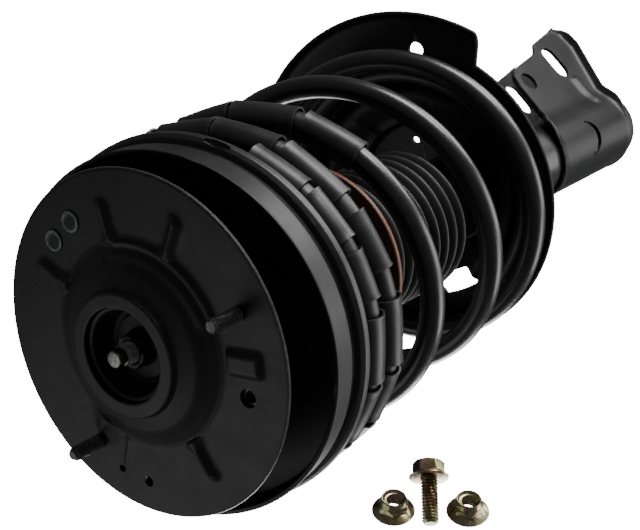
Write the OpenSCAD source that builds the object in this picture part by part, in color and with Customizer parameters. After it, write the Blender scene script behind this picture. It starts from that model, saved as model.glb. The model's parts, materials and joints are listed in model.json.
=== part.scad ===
// Spring and strut assembly: upright, rod axis on Z, origin on the flat seat of the top
// mount plate. The knuckle ears point towards +Y and their bolts lie along X.

/* [Top mount] */
// Outside diameter of the mount plate
plate_od = 186.4; // [180:0.2:192]
// Thickness of the stamped sheet
plate_t = 2.6; // [2:0.1:3.2]
// Height of the raised centre above the rim
dome_h = 15.5; // [12:0.5:18]
// Radius of the opening in the raised centre
opening_r = 25.4; // [24.8:0.1:27]
// Radius of the two stud positions
stud_pitch_r = 71.4; // [68:0.2:73]
// Stud thread diameter
stud_d = 8; // [7.8:0.1:8]
// Length of stud above the plate
stud_l = 20.8; // [16:0.2:28]
// Angle of the first stud
stud_a1 = -21; // [-25:1:-17]
// Angle of the second stud
stud_a2 = -166.5; // [-170:0.5:-160]
// Angle of the captive nut
captive_a = -57; // [-60:1:-54]

/* [Spring] */
// Wire diameter of the coil spring
wire_d = 13.6; // [12:0.1:13.8]
// Radius of the wire's centre line
coil_r = 92.2; // [91:0.1:94]
// Number of turns
turns = 5.3; // [5:0.05:5.5]
// Lean of the spring against the rod
lean = 5.8; // [4:0.1:6.5]
// Angle that the foot of the spring leans to
lean_a = 125; // [110:1:140]
// Outside diameter of the split sleeves on the upper turns
sleeve_d = 18.6; // [17:0.1:18.8]
// Number of turns that the sleeves cover
sleeve_turns = 2.06; // [1.5:0.01:2.08]

/* [Strut] */
// Outside diameter of the strut tube
tube_d = 51; // [50:0.5:52]
// Diameter of the piston rod
rod_d = 20; // [18:1:22]
// Height of the top of the strut tube, below the plate
tube_top = -226; // [-230:1:-224]
// Height of the bottom of the strut tube
tube_bottom = -512; // [-516:1:-508]

/* [Knuckle bracket] */
// Sheet thickness of the bracket
bracket_t = 3; // [2.6:0.1:3.4]
// Height of the bracket's upper edge
bracket_top = -401; // [-405:1:-398]
// Width across the outsides of the ears
ear_w = 45.4; // [44:0.2:47]
// Diameter of the round bolt hole
bolt_hole_d = 14.5; // [12.5:0.1:16.5]
// End-to-end length of the adjusting slot
slot_l = 27; // [20:0.5:28]

/* [Hidden] */
$fn = 96;
black = "#1b1b1d";
rubber = "#262628";
steel = "#8d9094";
zinc = "#b5ab78";
tan = "#a8642c";
rim_r = plate_od / 2;
dome_foot_r = 55.5;
shoulder_r = 44;
shoulder_z = 7.5;
collar_r = opening_r + 8.1;
collar_step = 3.7;
// Angles of the long ribs, and the one short rib
rib_at = [60, 21, 107, -101];
rib_l = 23;
short_rib_a = -165;
short_rib_l = 11;
rib_h = 3.2;
captive_r = 69;
// Two small drain holes in the rim
drain_pitch_r = 76.5;
drain_at = [-138, -152];
drain_r = 2.6;
thread_r = stud_d / 2;
stud_neck_r = thread_r + 1;
stud_neck_h = 0.8;
stud_tip = 1.2;
thread_core_r = 3.4;
// Width across the flats of the captive nut, the loose nuts and the loose bolt
nut_af = 13;
captive_h = 7;
rivet_r = 73.5;
rivet_at = [80, 94];
rivet_shank_r = 3.4;
rod_top_r = 6;
bush_r = 11.8;
carrier_z = -10.6;
rod_shoulder = -16;
rod_r = rod_d / 2;
run = 0.05;
race_r = 37;
ball_r = 2.5;
ball_z = -16.5;
ball_n = 18;
hub_r = 27;
hub_top = -22;
rod_end = -302;
tube_r = tube_d / 2;
tube_in = tube_r - 2.2;
press_r = 18;
press_in = 16;
seat_shift = -5.15;
// Pitch of the closed upper turns, of the free turns and of the closed lower turn
pitch_top = 19;
pitch_free = 76;
pitch_end = 13.7;
coil_z0 = -56.7;
// Angle of the spring's upper end
coil_a0 = 24.8;
// The closed lower turn is drawn in to this radius so that it sits inside the pan's rim
coil_end_r = 80.5;
// Number of split sleeves, and their gap to the wire
sleeve_n = 31;
sleeve_gap = 0.4;
boot_top = -37.5;
boot_low = -245;
boot_folds = 21;
pan_r = 97;
guard_r = 118;
ear_out = ear_w / 2;
ear_in = ear_out - bracket_t;
band_end = -499;
hole_y = 47;
hole_z = -431;
slot_y = 53.5;
slot_z = -478;
slot_wd = 14.5;
band_slot_a = -24;
band_slot_z = -451;
band_slot_l = 22;
band_slot_w = 4.4;
// How the loose nuts and the loose bolt lie
nut_tilt = 76.8;
nut_turn = 31.5;
bolt_tilt = 127.2;
bolt_turn = 75.1;

// Moves a shape from the spring's own upright frame into place: the spring axis crosses
// the plate's plane seat_shift along the lean and leans out as it goes down.
module leaned() {
    rotate([0, 0, lean_a]) translate([seat_shift, 0, 0]) rotate([0, -lean, 0])
        rotate([0, 0, -lean_a]) children();
}
module at(r, a, z = 0) {
    rotate([0, 0, a]) translate([r, 0, z]) children();
}
module ring(r_in, r_out, z_low, z_high) {
    translate([0, 0, z_low]) difference() {
        cylinder(r = r_out, h = z_high - z_low);
        translate([0, 0, -1]) cylinder(r = r_in, h = z_high - z_low + 2);
    }
}
module revolve(points) {
    rotate_extrude() polygon(points);
}
module hex(af, h) {
    cylinder(r = af / sqrt(3), h = h, $fn = 6);
}

// Height of the wire's centre after n turns from the top end
function ease(t) = t <= 0 ? 0 : t >= 1 ? t - 0.5 : t * t * t - t * t * t * t / 2;
function coil_z(n) = coil_z0 - (pitch_top * n + (pitch_free - pitch_top) * 1.2 * ease((n - 1) / 1.2)
    - (pitch_free - pitch_end) * 0.5 * ease((n - 3.75) / 0.5));
// Radius and centre of the wire after n turns
function coil_rad(n) =
    coil_r - (coil_r - coil_end_r) * (1 - cos(180 * min(1, max(0, (n - 4.3) / 0.4)))) / 2;
function coil_point(n) =
    [coil_rad(n) * cos(coil_a0 - 360 * n), coil_rad(n) * sin(coil_a0 - 360 * n), coil_z(n)];
function unit(v) = v / norm(v);
// Sweeps a round section of radius r along the coil from turn n0 to turn n1
module coil_tube(n0, n1, r, steps, sides) {
    at_n = [for (i = [0:steps]) n0 + (n1 - n0) * i / steps];
    rings = [for (n = at_n)
        let (p = coil_point(n), t = unit(coil_point(n + 0.002) - coil_point(n - 0.002)),
             out = unit([p[0], p[1], 0]), side = unit(cross(t, out)), o = cross(side, t))
        for (j = [0:sides - 1]) p + r * (cos(360 * j / sides) * o + sin(360 * j / sides) * side)];
    skin = [for (i = [0:steps - 1], j = [0:sides - 1])
        let (a = i * sides + j, b = i * sides + (j + 1) % sides)
        each [[a, a + sides, b + sides], [a, b + sides, b]]];
    caps = [[for (j = [0:sides - 1]) j], [for (j = [sides - 1:-1:0]) steps * sides + j]];
    polyhedron(rings, concat(skin, caps));
}

module mount_plate() {
    t = plate_t;
    color(black) difference() {
        union() {
            revolve([[opening_r, dome_h], [opening_r, dome_h - 6], [opening_r + t, dome_h - 6],
                     [opening_r + t, dome_h - t], [collar_r - t, dome_h - t],
                     [collar_r - 1.5, dome_h - collar_step - t], [shoulder_r - 1.4, shoulder_z - t],
                     [dome_foot_r - 1.2, -t], [rim_r, -t], [rim_r - 0.4, 0], [dome_foot_r, 0],
                     [shoulder_r, shoulder_z], [collar_r + 1, dome_h - collar_step],
                     [collar_r, dome_h - 1], [collar_r - 1, dome_h]]);
            for (a = rib_at)
                at(0, a) plate_rib(rib_l, rib_h + 1);
            at(0, short_rib_a) plate_rib(short_rib_l, rib_h);
            at(0, captive_a + 15) plate_pad();
        }
        at(captive_r, captive_a, -10) cylinder(r = thread_r + 1, h = 20);
        for (a = drain_at)
            at(drain_pitch_r, a, -10) cylinder(r = drain_r, h = 20);
        for (a = rivet_at)
            at(rivet_r, a, -10) cylinder(r = rivet_shank_r + run, h = 20);
        for (a = [stud_a1, stud_a2])
            at(stud_pitch_r, a, -10) cylinder(r = stud_neck_r + run, h = 20);
    }
}
// One stamped rib of the given length and radius, from the dome outwards
module plate_rib(length, r) {
    intersection() {
        translate([dome_foot_r - 1, 0, -1]) rotate([0, 90, 0]) cylinder(r = r, h = length);
        translate([40, -10, -1]) cube([60, 20, 10]);
    }
}
// Wide flat-topped swelling between the first stud and the captive nut
module plate_pad() {
    at(dome_foot_r + 11.5, 0, -1) cylinder(r1 = 8, r2 = 5, h = 4.4);
}
module mount_rubber() {
    color(rubber) revolve([[bush_r, -12], [20, -12], [20, -8], [46, -8], [46, -4], [36, 3.5],
                           [25.2, 7], [25.2, dome_h - 3], [22, dome_h - 5], [20, 3], [18, 0],
                           [17.2, -2.5], [bush_r, -2.5]]);
}
module bearing_carrier() {
    color(black) revolve([[20.2, -8], [20.2, carrier_z], [52, carrier_z], [54.5, -6], [54.5, -2.6],
                          [52, -2.6], [52, -4.5], [50, -8]]);
}
module inner_sleeve() {
    color(steel) ring(rod_top_r + 0.1, bush_r, -13.5, -2.5);
}
module top_washer() {
    color(steel) ring(rod_top_r + 0.1, 17, -2.5, 0);
}
module bottom_washer() {
    color(steel) ring(rod_top_r + 0.1, 19, rod_shoulder, -13.5);
}
module rod_nut() {
    color(steel) difference() {
        union() {
            hex(17, 9);
            cylinder(r = 10.2, h = 1.6);
        }
        translate([0, 0, -1]) cylinder(r = rod_top_r + 0.05, h = 12);
    }
}
module tower_stud(a) {
    color(steel) at(stud_pitch_r, a) {
        translate([0, 0, -plate_t]) cylinder(r = stud_neck_r, h = plate_t);
        cylinder(r1 = stud_neck_r, r2 = thread_r, h = stud_neck_h, $fn = 48);
        cylinder(r = thread_r, h = stud_l - stud_tip);
        translate([0, 0, stud_l - stud_tip])
            cylinder(r1 = thread_r, r2 = thread_r - 1, h = stud_tip, $fn = 48);
        translate([0, 0, -plate_t - 2.6]) cylinder(r = stud_neck_r + 2.5, h = 2.6);
    }
}
module tower_stud_1() {
    tower_stud(stud_a1);
}
module tower_stud_2() {
    tower_stud(stud_a2);
}
module captive_nut() {
    color(steel) at(captive_r, captive_a) difference() {
        translate([0, 0, -plate_t - captive_h]) hex(nut_af, captive_h);
        translate([0, 0, -plate_t - captive_h - 1]) cylinder(r = thread_core_r, h = captive_h + 2);
    }
}
module plate_rivets() {
    color(steel) for (a = rivet_at)
        at(rivet_r, a) difference() {
            union() {
                translate([0, 0, -4.4]) cylinder(r = rivet_shank_r, h = 5.2);
                cylinder(r = 6, h = 0.9);
                translate([0, 0, -4.4]) cylinder(r = 4.9, h = 1.8);
            }
            translate([0, 0, -5]) cylinder(r = 2.2, h = 7);
        }
}
module piston_rod() {
    color(steel) union() {
        translate([0, 0, rod_end]) cylinder(r = rod_r - 3.5, h = 22);
        translate([0, 0, rod_end + 20]) cylinder(r = rod_r, h = rod_shoulder - rod_end - 20);
        translate([0, 0, rod_shoulder]) cylinder(r = rod_top_r, h = 31.5);
        translate([0, 0, 15]) hex(8.6, 6);
    }
}
module piston() {
    color(steel) difference() {
        ring(rod_r - 3.5 + run, press_in - 1.2, rod_end + 2, rod_end + 20);
        for (i = [0:5])
            at(11, 60 * i, rod_end) cylinder(r = 1.5, h = 24, $fn = 24);
    }
}
module piston_band() {
    color(rubber) ring(press_in - 1.2, press_in - run, rod_end + 5, rod_end + 17);
}
module rebound_stop() {
    color(tan) ring(rod_r + run, press_in - 1.5, rod_end + 20, rod_end + 28);
}
module bump_stop() {
    color("#c9b26a") revolve([[rod_r + 0.3, rod_shoulder], [24, rod_shoulder], [24, -38], [20, -42],
                              [24, -47], [24, -56], [19, -61], [22, -66], [22, -75], [17, -80],
                              [19, -86], [14, -98], [rod_r + 0.3, -98]]);
}

module race_groove() {
    translate([0, 0, ball_z]) rotate_extrude() translate([race_r, 0]) circle(r = ball_r + run, $fn = 48);
}
module bearing_upper_race() {
    color(steel) difference() {
        ring(30, 44, ball_z + 1.1, carrier_z);
        race_groove();
    }
}
module bearing_lower_race() {
    color(steel) difference() {
        ring(30, 44, hub_top, ball_z - 1.1);
        race_groove();
    }
}
module bearing_cage() {
    color("#c8b98a") difference() {
        ring(33, 41, ball_z - 0.8, ball_z + 0.8);
        for (i = [0:ball_n - 1])
            at(race_r, 360 / ball_n * i, ball_z - 2) cylinder(r = ball_r + run, h = 4, $fn = 32);
    }
}
module bearing_balls() {
    color(steel) for (i = [0:ball_n - 1])
        at(race_r, 360 / ball_n * i, ball_z) sphere(r = ball_r, $fn = 32);
}

module upper_spring_seat() {
    color(black) difference() {
        union() {
            leaned() revolve([[20, -30], [20, -32.6], [47, -32.6], [54, -36], [97, -36], [98.8, -33.4],
                              [98.8, -18], [99.8, -17], [97.4, -17], [96.2, -18.6], [96.2, -33.4],
                              [56, -33.4], [50, -30]]);
            ring(hub_r, 45, -30.5, hub_top);
        }
        translate([0, 0, -60]) cylinder(r = hub_r, h = 60);
    }
}
module upper_isolator() {
    color(rubber) leaned() revolve([[82, -36], [97.6, -36], [100.6, -37.4], [102.3, -41], [102.3, -44],
                                    [100.6, -46.6], [98, -47.1], [82, -47.1]]);
}
module coil_spring() {
    color(black) leaned() coil_tube(0, turns, wire_d / 2, 212, 14);
}
module spring_sleeves() {
    step = sleeve_turns / sleeve_n;
    color(rubber) leaned() for (i = [0:sleeve_n - 1])
        difference() {
            coil_tube(0.002 + i * step, (i + 0.94) * step, sleeve_d / 2, 2, 12);
            coil_tube(i * step - 0.01, (i + 1) * step, wire_d / 2 + sleeve_gap, 4, 14);
        }
}
module dust_boot() {
    fold = (boot_top - 8 - boot_low) / boot_folds;
    top = boot_top - 8;
    outer = [for (i = [0:boot_folds - 1])
        each [[38.5, top - i * fold], [44.6, top - (i + 0.38) * fold], [44.6, top - (i + 0.62) * fold]]];
    inner = [for (i = [boot_folds - 1:-1:0])
        each [[42.6, top - (i + 0.6) * fold], [42.6, top - (i + 0.4) * fold], [36.5, top - i * fold]]];
    color(rubber) revolve(concat([[36.5, boot_top], [40, boot_top], [40, top]], outer,
                                 [[38.5, boot_low], [36.5, boot_low]], inner));
}
module boot_ring() {
    color(tan) ring(45, 58, -152, -148);
}

module strut_tube() {
    color(black) ring(tube_in, tube_r, tube_bottom, tube_top - 2);
}
module pressure_tube() {
    color(steel) ring(press_in, press_r, tube_bottom + 8, tube_top - 20);
}
module base_valve() {
    color(steel) difference() {
        translate([0, 0, tube_bottom + 3]) cylinder(r = press_in, h = 13);
        for (i = [0:3])
            at(9, 90 * i, tube_bottom) cylinder(r = 2, h = 20, $fn = 24);
    }
}
module rod_guide() {
    color(steel) union() {
        ring(rod_r + run, tube_in, tube_top - 20, tube_top - 8);
        ring(rod_r + run, press_in, tube_top - 26, tube_top - 20);
    }
}
module rod_seal() {
    color(rubber) ring(rod_r + run, tube_in, tube_top - 8, tube_top - 2);
}
module tube_cap() {
    color(black) ring(rod_r + 1.5, tube_r, tube_top - 2, tube_top);
}
module bottom_cap() {
    color(black) translate([0, 0, tube_bottom]) cylinder(r = tube_in, h = 3);
}
// Pan under the spring, with the wide guard on one side
module lower_spring_seat() {
    color(black) difference() {
        union() {
            leaned() revolve([[0, -313], [40, -306], [61, -292], [69, -292], [71.5, -297.2], [85.4, -297.2],
                              [88, -288.6], [pan_r - 2, -288.6], [pan_r - 0.8, -287], [pan_r, -287.6],
                              [pan_r, -291], [89.8, -291.4], [87.4, -300.2], [69.6, -300.2],
                              [67.2, -295], [62, -295], [40, -309], [0, -316]]);
            leaned() guard();
            ring(tube_r - 1, tube_r + 3, -345, -296);
        }
        translate([0, 0, -400]) cylinder(r = tube_r, h = 200);
        leaned() at(93.8, 41, -310) cylinder(r = 5, h = 40);
        leaned() at(30, 57, -330) cylinder(r = 2.4, h = 50);
        leaned() rotate([0, 0, -110.5]) translate([58, -13, -330]) cube([23, 26, 60]);
    }
}
// Flange wider than the pan, cut square at one end and on a slant at the other
module guard() {
    intersection() {
        revolve([[pan_r - 1, -290.8], [pan_r - 1, -288.6], [guard_r - 5.5, -288.6], [guard_r - 1, -285],
                 [guard_r, -285.8], [guard_r - 4.6, -291]]);
        translate([0, 0, -310]) linear_extrude(40)
            polygon([[0, 0], [94 * cos(16), 94 * sin(16)], [121 * cos(20.8), 121 * sin(20.8)],
                     [113, 113], [0, 160], [160 * cos(128), 160 * sin(128)]]);
    }
}
module lower_isolator() {
    color(rubber) leaned() ring(72.5, 84.8, -297.2, -294.2);
}
module knuckle_bracket() {
    color(black) difference() {
        union() {
            difference() {
                translate([0, 0, band_end]) linear_extrude(bracket_top - band_end) bracket_section();
                bracket_trim();
            }
            for (s = [-1, 1])
                translate([s > 0 ? ear_in : -ear_out, 0, 0]) ear();
        }
        translate([-40, hole_y, hole_z]) rotate([0, 90, 0]) cylinder(r = bolt_hole_d / 2, h = 80);
        for (e = [-1, 1])
            translate([-40, slot_y + e * (slot_l - slot_wd) / 2, slot_z]) rotate([0, 90, 0])
                cylinder(r = slot_wd / 2, h = 80);
        translate([-40, slot_y - (slot_l - slot_wd) / 2, slot_z - slot_wd / 2])
            cube([80, slot_l - slot_wd, slot_wd]);
        for (m = [0, 1])
            mirror([m, 0, 0]) band_slot();
    }
}
// Slot across the side of the band
module band_slot() {
    at(0, band_slot_a, band_slot_z) translate([tube_r - 2, -band_slot_l / 2, -band_slot_w / 2])
        cube([8, band_slot_l, band_slot_w]);
}
// Band round the tube, running into the two side walls
module bracket_section() {
    r = tube_r + bracket_t;
    difference() {
        union() {
            circle(r = r);
            polygon([[-r, 0], [r, 0], [ear_out, 24], [ear_out, 32], [-ear_out, 32], [-ear_out, 24]]);
        }
        circle(r = tube_r);
        polygon([[-tube_r, 0], [tube_r, 0], [ear_in, 22], [ear_in, 40], [-ear_in, 40], [-ear_in, 22]]);
    }
}
// Slopes the band's upper edge down towards the ears
module bracket_trim() {
    translate([-50, 0, 0]) rotate([90, 0, 90]) linear_extrude(100)
        polygon([[2, bracket_top + 1], [14, -411], [60, -411], [60, bracket_top + 1]]);
}
module ear() {
    rotate([90, 0, 90]) linear_extrude(bracket_t)
        polygon([[24, -411], [44, -411], [59, -423], [61, -436], [65, -462], [71, -469], [79, -504],
                 [74, -512], [60, -516], [24, band_end]]);
}

// Places a loose piece of the fastening kit beside the mount
module kit_place(p, tilt, turn) {
    translate(p) rotate([0, 0, turn]) rotate([0, tilt, 0]) children();
}
module flange_nut() {
    difference() {
        union() {
            cylinder(r = 9.6, h = 1.4);
            translate([0, 0, 1.4]) cylinder(r1 = 9.2, r2 = 7.2, h = 1.8, $fn = 48);
            translate([0, 0, 1.4]) hex(nut_af, 7.2);
        }
        translate([0, 0, -1]) cylinder(r = thread_core_r, h = 12);
    }
}
module kit_flange_nuts() {
    color(zinc) {
        kit_place([73.4, -143.7, 4.9], nut_tilt, nut_turn) flange_nut();
        kit_place([91.2, -164.7, -15], nut_tilt, nut_turn) flange_nut();
    }
}
module kit_flange_bolt() {
    color(zinc) kit_place([90.3, -142.2, -8.9], bolt_tilt, bolt_turn) {
        translate([0, 0, -21.5]) cylinder(r = thread_r, h = 22);
        cylinder(r = 8.9, h = 1.5);
        translate([0, 0, 1.5]) cylinder(r1 = 8.6, r2 = 7.2, h = 1.6, $fn = 48);
        translate([0, 0, 1.5]) hex(nut_af, 7);
    }
}

mount_plate();
mount_rubber();
bearing_carrier();
inner_sleeve();
top_washer();
bottom_washer();
rod_nut();
tower_stud_1();
tower_stud_2();
captive_nut();
plate_rivets();
piston_rod();
piston();
piston_band();
rebound_stop();
bump_stop();
bearing_upper_race();
bearing_cage();
bearing_balls();
bearing_lower_race();
upper_spring_seat();
upper_isolator();
coil_spring();
spring_sleeves();
dust_boot();
boot_ring();
strut_tube();
pressure_tube();
base_valve();
rod_guide();
rod_seal();
tube_cap();
bottom_cap();
lower_spring_seat();
lower_isolator();
knuckle_bracket();
kit_flange_nuts();
kit_flange_bolt();
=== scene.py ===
"""Spring and strut assembly, standing upright: rod axis on Z, top mount plate at z = 0."""
import json
import math
import random
import bpy
import bmesh
import numpy as np
from mathutils import Matrix, Vector


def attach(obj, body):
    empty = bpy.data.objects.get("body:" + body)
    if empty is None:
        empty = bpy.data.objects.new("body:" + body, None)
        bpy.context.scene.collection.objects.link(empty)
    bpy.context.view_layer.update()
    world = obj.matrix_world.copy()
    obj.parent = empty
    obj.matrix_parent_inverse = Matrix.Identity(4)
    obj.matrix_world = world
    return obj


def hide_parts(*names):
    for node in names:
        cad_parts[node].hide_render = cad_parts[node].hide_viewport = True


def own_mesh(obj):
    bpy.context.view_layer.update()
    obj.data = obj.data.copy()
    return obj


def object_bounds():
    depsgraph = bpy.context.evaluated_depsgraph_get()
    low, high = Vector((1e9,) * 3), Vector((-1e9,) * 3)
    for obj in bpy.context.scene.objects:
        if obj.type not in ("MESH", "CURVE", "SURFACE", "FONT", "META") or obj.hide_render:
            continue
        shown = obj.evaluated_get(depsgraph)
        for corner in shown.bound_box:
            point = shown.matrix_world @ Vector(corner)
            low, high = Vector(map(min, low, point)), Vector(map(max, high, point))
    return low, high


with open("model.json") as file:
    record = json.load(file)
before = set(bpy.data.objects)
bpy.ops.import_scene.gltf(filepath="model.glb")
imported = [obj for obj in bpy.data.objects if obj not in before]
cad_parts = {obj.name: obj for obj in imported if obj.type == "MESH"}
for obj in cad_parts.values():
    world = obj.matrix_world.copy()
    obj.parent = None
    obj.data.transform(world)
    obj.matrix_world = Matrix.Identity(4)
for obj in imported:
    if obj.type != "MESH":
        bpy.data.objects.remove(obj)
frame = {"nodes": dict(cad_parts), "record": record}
cad_low, cad_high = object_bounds()
MM = 0.001
rng = random.Random(7)


# ---------------------------------------------------------------- mesh helpers

def piece(name, points, faces, material, body, slot, replaces=(), sharp=32, move=None):
    """One mesh from points in millimetres, riding on a body."""
    points = np.asarray(points, float)
    if move is not None:
        points = points @ move[0].T + move[1]
    mesh = bpy.data.meshes.new(name)
    mesh.from_pydata((points * MM).tolist(), [], [list(map(int, f)) for f in faces])
    bm = bmesh.new()
    bm.from_mesh(mesh)
    bmesh.ops.remove_doubles(bm, verts=bm.verts, dist=1e-6)
    bmesh.ops.dissolve_degenerate(bm, edges=bm.edges, dist=1e-7)
    bmesh.ops.recalc_face_normals(bm, faces=bm.faces)
    bm.to_mesh(mesh)
    bm.free()
    mesh.shade_smooth()
    mesh.set_sharp_from_angle(angle=math.radians(sharp))
    mesh.materials.append(material)
    obj = bpy.data.objects.new(name, mesh)
    bpy.context.scene.collection.objects.link(obj)
    if body:
        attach(obj, body)
        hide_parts(*replaces)
    return obj


def join(parts):
    """Points and faces of several shapes as one."""
    points, faces, start = [], [], 0
    for p, f in parts:
        points.append(np.asarray(p, float))
        faces += [[i + start for i in face] for face in f]
        start += len(p)
    return np.vstack(points), faces


def grid_faces(rows, columns, wrap_rows=False, wrap_columns=False):
    faces = []
    for i in range(rows if wrap_rows else rows - 1):
        for j in range(columns if wrap_columns else columns - 1):
            a, b = i, (i + 1) % rows
            c, d = j, (j + 1) % columns
            faces.append([a * columns + c, a * columns + d, b * columns + d, b * columns + c])
    return faces


def rounded(points, steps=4):
    """A closed outline of (x, y) or (x, y, radius) corners, each radius turned into an arc."""
    out = []
    count = len(points)
    for i in range(count):
        p = np.array(points[i][:2], float)
        radius = points[i][2] if len(points[i]) > 2 else 0
        if not radius:
            out.append(p)
            continue
        a = np.array(points[i - 1][:2], float) - p
        b = np.array(points[(i + 1) % count][:2], float) - p
        la, lb = np.hypot(*a), np.hypot(*b)
        a, b = a / la, b / lb
        half = math.acos(max(-1, min(1, a @ b))) / 2
        reach = min(radius / math.tan(half), la * 0.49, lb * 0.49)
        for k in range(steps + 1):
            t = k / steps
            out.append((1 - t) ** 2 * (p + a * reach) + 2 * t * (1 - t) * p + t * t * (p + b * reach))
    return np.array(out)


def lathe(profile, segments=160):
    """A closed outline of (radius, height) turned about Z. profile may be a function of the angle."""
    angles = [2 * math.pi * i / segments for i in range(segments)]
    rows = []
    for a in angles:
        outline = np.asarray(profile(a) if callable(profile) else profile, float)
        r, z = outline[:, 0], outline[:, 1]
        rows.append(np.column_stack([r * math.cos(a), r * math.sin(a), z]))
    grid = np.array(rows)
    return grid.reshape(-1, 3), grid_faces(len(grid), grid.shape[1], True, True)


def sweep(path, section):
    """A closed section (outward, sideways) carried along a path. section may be a function of the step."""
    path = np.asarray(path, float)
    tangent = np.gradient(path, axis=0)
    tangent /= np.linalg.norm(tangent, axis=1)[:, None]
    out = np.column_stack([path[:, 0], path[:, 1], path[:, 2] * 0])
    side = np.cross(tangent, out)
    side /= np.linalg.norm(side, axis=1)[:, None]
    out = np.cross(side, tangent)
    rows = []
    for i, p in enumerate(path):
        s = np.asarray(section(i) if callable(section) else section, float)
        rows.append(p + s[:, :1] * out[i] + s[:, 1:] * side[i])
    grid = np.array(rows)
    n, m = grid.shape[:2]
    faces = grid_faces(n, m, False, True)
    faces.append(list(range(m)))
    faces.append([(n - 1) * m + j for j in reversed(range(m))])
    return grid.reshape(-1, 3), faces


def thick(grid, t, wrap=False, flip=False):
    """A sheet of thickness t with rounded edges, from a grid of points; t lies under the normals."""
    grid = np.asarray(grid, float)
    du = (np.roll(grid, -1, 0) - np.roll(grid, 1, 0)) if wrap else np.gradient(grid, axis=0)
    dv = np.gradient(grid, axis=1)
    normal = np.cross(du, dv)
    normal /= np.linalg.norm(normal, axis=2)[:, :, None] + 1e-12
    if flip:
        normal = -normal
    under = grid - normal * t
    ends = []
    for edge, before in ((-1, -2), (0, 1)):
        out = grid[:, edge] - grid[:, before]
        out /= np.linalg.norm(out, axis=1)[:, None] + 1e-12
        centre = grid[:, edge] - normal[:, edge] * t / 2
        ends.append([centre + t / 2 * (math.cos(f) * normal[:, edge] + math.sin(f) * out)
                     for f in (math.pi / 4, math.pi / 2, math.pi * 3 / 4)])
    far, near = np.stack(ends[0], 1), np.stack(ends[1][::-1], 1)
    loop = np.concatenate([grid, far, under[:, ::-1], near], 1)
    n, m = loop.shape[:2]
    faces = grid_faces(n, m, wrap, True)
    if not wrap:
        top, low = grid.shape[1], grid.shape[1] + 3
        for row in (0, n - 1):
            for j in range(top - 1):
                a, b = row * m + j, row * m + j + 1
                c, d = row * m + low + top - 1 - j, row * m + low + top - 2 - j
                faces.append([a, b, d, c] if row else [a, c, d, b])
            faces.append([row * m + k for k in range(top - 1, low + 1)])
            faces.append([row * m + k for k in list(range(low + top - 1, m)) + [0]])
    return loop.reshape(-1, 3), faces


def cut(obj, cutters):
    """Takes shapes out of a piece, exactly, and removes the cutters."""
    for points, faces in cutters:
        tool = piece("cutter", points, faces, obj.data.materials[0], None, None)
        modifier = obj.modifiers.new("cut", "BOOLEAN")
        modifier.object = tool
        modifier.operation = "DIFFERENCE"
        modifier.solver = "EXACT"
        depsgraph = bpy.context.evaluated_depsgraph_get()
        mesh = bpy.data.meshes.new_from_object(obj.evaluated_get(depsgraph))
        obj.modifiers.clear()
        obj.data = mesh
        bpy.data.objects.remove(tool)
    obj.data.shade_smooth()
    obj.data.set_sharp_from_angle(angle=math.radians(32))


def rod_between(start, end, radius, segments=48):
    """A plain cylinder, used only as a cutter."""
    start, end = np.array(start, float), np.array(end, float)
    axis = end - start
    axis /= np.linalg.norm(axis)
    u = np.cross(axis, [0, 0, 1.0] if abs(axis[2]) < 0.9 else [1.0, 0, 0])
    u /= np.linalg.norm(u)
    v = np.cross(axis, u)
    ring = []
    for i in range(segments):
        a = 2 * math.pi * i / segments
        ring.append(radius * (math.cos(a) * u + math.sin(a) * v))
    ring = np.array(ring)
    points = np.vstack([start + ring, end + ring])
    faces = [[i, (i + 1) % segments, segments + (i + 1) % segments, segments + i] for i in range(segments)]
    faces += [list(range(segments))[::-1], [segments + i for i in range(segments)]]
    return points, faces


def stadium_cutter(x0, x1, y, z, length, width, segments=32):
    """A slot along Y, cut through along X."""
    outline = []
    for end, sign in ((length / 2 - width / 2, 1), (-(length / 2 - width / 2), -1)):
        for i in range(segments + 1):
            a = math.pi * (i / segments - 0.5) + (0 if sign > 0 else math.pi)
            outline.append((y + end + width / 2 * math.cos(a), z + width / 2 * math.sin(a)))
    n = len(outline)
    points = [(x0, *p) for p in outline] + [(x1, *p) for p in outline]
    faces = [[i, (i + 1) % n, n + (i + 1) % n, n + i] for i in range(n)]
    faces += [list(range(n))[::-1], [n + i for i in range(n)]]
    return np.array(points), faces


def rotation(axis, degrees):
    return np.array(Matrix.Rotation(math.radians(degrees), 3, axis))


def smooth(t):
    t = np.clip(t, 0, 1)
    return t * t * (3 - 2 * t)


def polar(radius, degrees, z=0.0):
    a = math.radians(degrees)
    return np.array([radius * math.cos(a), radius * math.sin(a), z])


# ------------------------------------------------------------------- materials

def new_material(name):
    m = bpy.data.materials.new(name)
    m.use_nodes = True
    m.node_tree.nodes.clear()
    tree = m.node_tree
    out = tree.nodes.new("ShaderNodeOutputMaterial")
    shader = tree.nodes.new("ShaderNodeBsdfPrincipled")
    tree.links.new(shader.outputs[0], out.inputs[0])
    coords = tree.nodes.new("ShaderNodeTexCoord")
    return m, tree, shader, coords


def noise(tree, coords, scale, detail=4.0, rough=0.55, stretch=None):
    n = tree.nodes.new("ShaderNodeTexNoise")
    n.inputs["Scale"].default_value = scale
    n.inputs["Detail"].default_value = detail
    n.inputs["Roughness"].default_value = rough
    source = coords.outputs["Object"]
    if stretch:
        mapping = tree.nodes.new("ShaderNodeMapping")
        mapping.inputs["Scale"].default_value = stretch
        tree.links.new(source, mapping.inputs["Vector"])
        source = mapping.outputs["Vector"]
    tree.links.new(source, n.inputs["Vector"])
    return n.outputs[0]


def ramp(tree, value, stops):
    r = tree.nodes.new("ShaderNodeValToRGB")
    elements = r.color_ramp.elements
    while len(elements) < len(stops):
        elements.new(0.5)
    for e, (position, colour) in zip(elements, stops):
        e.position = position
        e.color = (*colour, 1) if len(colour) == 3 else colour
    tree.links.new(value, r.inputs[0])
    return r.outputs[0]


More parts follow.
